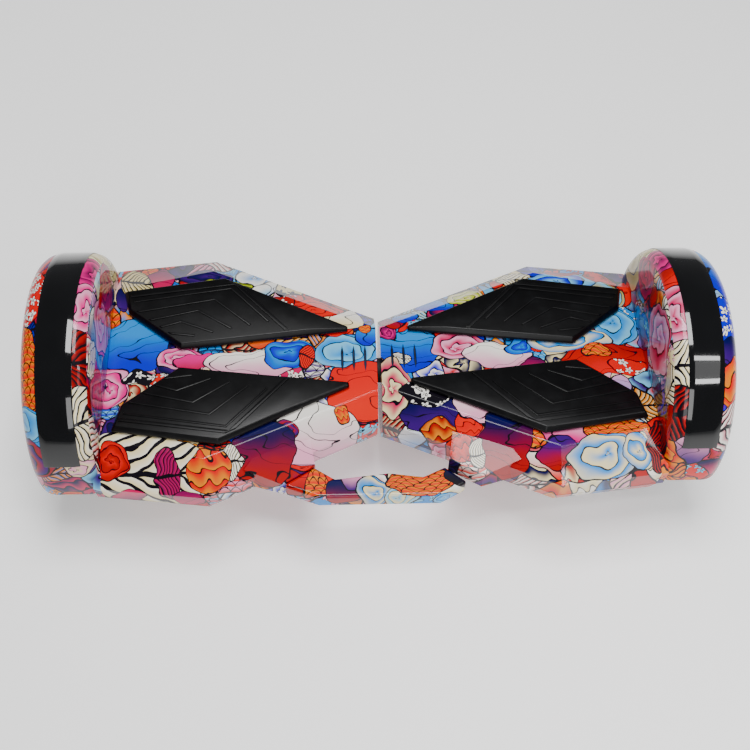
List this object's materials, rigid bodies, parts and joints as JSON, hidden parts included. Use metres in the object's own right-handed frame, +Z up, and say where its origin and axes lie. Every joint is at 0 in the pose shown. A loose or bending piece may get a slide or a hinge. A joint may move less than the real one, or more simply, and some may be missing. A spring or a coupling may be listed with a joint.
{
  "type": "self-balancing hoverboard",
  "caption": "Two-wheeled self-balancing board whose halves twist about a central tube, with foot pads and a carrying handle.",
  "frame": {"origin": "on the floor, below the middle of the wheel axle line", "axes": "+X along the board towards its right wheel, +Y to the rear, away from the carrying handle, +Z up"},
  "size_m": [0.636, 0.27, 0.2152],
  "materials": {
    "shell": "gloss lacquer over a printed pattern",
    "lower_shell": "gloss lacquer over a printed pattern",
    "pad": "moulded, semi-gloss",
    "strip": "polished black",
    "lens": "smoked translucent",
    "steel": "zinc plated",
    "frame": "as cast",
    "iron": "laminated",
    "copper": "enamelled copper",
    "hub": "satin",
    "tyre": "moulded tread",
    "bronze": "sintered",
    "rubber": "soft black",
    "battery": "shrink wrap",
    "board": "printed circuit board",
    "black_plastic": "moulded"
  },
  "bodies": {
    "left_half": {"axle_clamp_left": "frame", "battery_pack": "battery", "bottom_shell_left": "lower_shell", "carry_handle": "shell", "clamp_bolts_left": "steel", "dust_sleeve": "rubber", "fender_strip_left": "strip", "frame_left": "frame", "handle_screws": "steel", "indicator_lens_left": "lens", "motor_stator_left": "iron", "pivot_collar": "steel", "pivot_tube": "steel", "sensor_board_left": "board", "shell_screws_left": "steel", "stator_windings_left": "copper", "stop_pin": "steel", "top_shell_left": "shell", "wheel_axle_left": "steel"},
    "right_half": {"axle_clamp_right": "frame", "bottom_shell_right": "lower_shell", "charge_socket": "black_plastic", "clamp_bolts_right": "steel", "fender_strip_right": "strip", "frame_right": "frame", "indicator_lens_right": "lens", "main_board": "board", "motor_stator_right": "iron", "pivot_bushes": "bronze", "power_switch": "black_plastic", "sensor_board_right": "board", "shell_screws_right": "steel", "speaker": "black_plastic", "stator_windings_right": "copper", "top_shell_right": "shell", "wheel_axle_right": "steel"},
    "left_wheel": {"rotor_magnets_left": "iron", "motor_hub_left": "hub", "hub_cover_left": "hub", "wheel_bearings_left": "steel", "tyre_left": "tyre"},
    "front_pad_left": {"front_pad_left": "pad"},
    "rear_pad_left": {"rear_pad_left": "pad"},
    "right_wheel": {"rotor_magnets_right": "iron", "motor_hub_right": "hub", "hub_cover_right": "hub", "wheel_bearings_right": "steel", "tyre_right": "tyre"},
    "front_pad_right": {"front_pad_right": "pad"},
    "rear_pad_right": {"rear_pad_right": "pad"},
    "charge_cap": {"charge_cap": "rubber"},
    "power_button": {"power_button": "black_plastic"}
  },
  "joints": [
    {"name": "half_twist", "type": "hinge", "parent": "left_half", "child": "right_half", "pos_m": [0, 0, 0.1], "axis": [1, 0, 0], "range_deg": [-10, 20]},
    {"name": "left_wheel_spin", "type": "hinge", "parent": "left_half", "child": "left_wheel", "pos_m": [-0.2875, 0, 0.1], "axis": [1, 0, 0], "continuous": true},
    {"name": "right_wheel_spin", "type": "hinge", "parent": "right_half", "child": "right_wheel", "pos_m": [0.2875, 0, 0.1], "axis": [1, 0, 0], "continuous": true},
    {"name": "front_pad_left_press", "type": "slide", "parent": "left_half", "child": "front_pad_left", "axis": [0, 0, -1], "range_m": [0, 0.0015], "stiffness_N_per_m": 20000},
    {"name": "rear_pad_left_press", "type": "slide", "parent": "left_half", "child": "rear_pad_left", "axis": [0, 0, -1], "range_m": [0, 0.0015], "stiffness_N_per_m": 20000},
    {"name": "front_pad_right_press", "type": "slide", "parent": "right_half", "child": "front_pad_right", "axis": [0, -0.0872, -0.9962], "range_m": [0, 0.0015], "stiffness_N_per_m": 20000},
    {"name": "rear_pad_right_press", "type": "slide", "parent": "right_half", "child": "rear_pad_right", "axis": [0, -0.0872, -0.9962], "range_m": [0, 0.0015], "stiffness_N_per_m": 20000},
    {"name": "power_button_press", "type": "slide", "parent": "right_half", "child": "power_button", "axis": [0, 0.0872, 0.9962], "range_m": [0, 0.001], "stiffness_N_per_m": 1500},
    {"name": "charge_cap_swing", "type": "hinge", "parent": "right_half", "child": "charge_cap", "pos_m": [0.13, 0.06907, 0.03242], "axis": [1, 0, 0], "range_deg": [0, 110]}
  ]
}
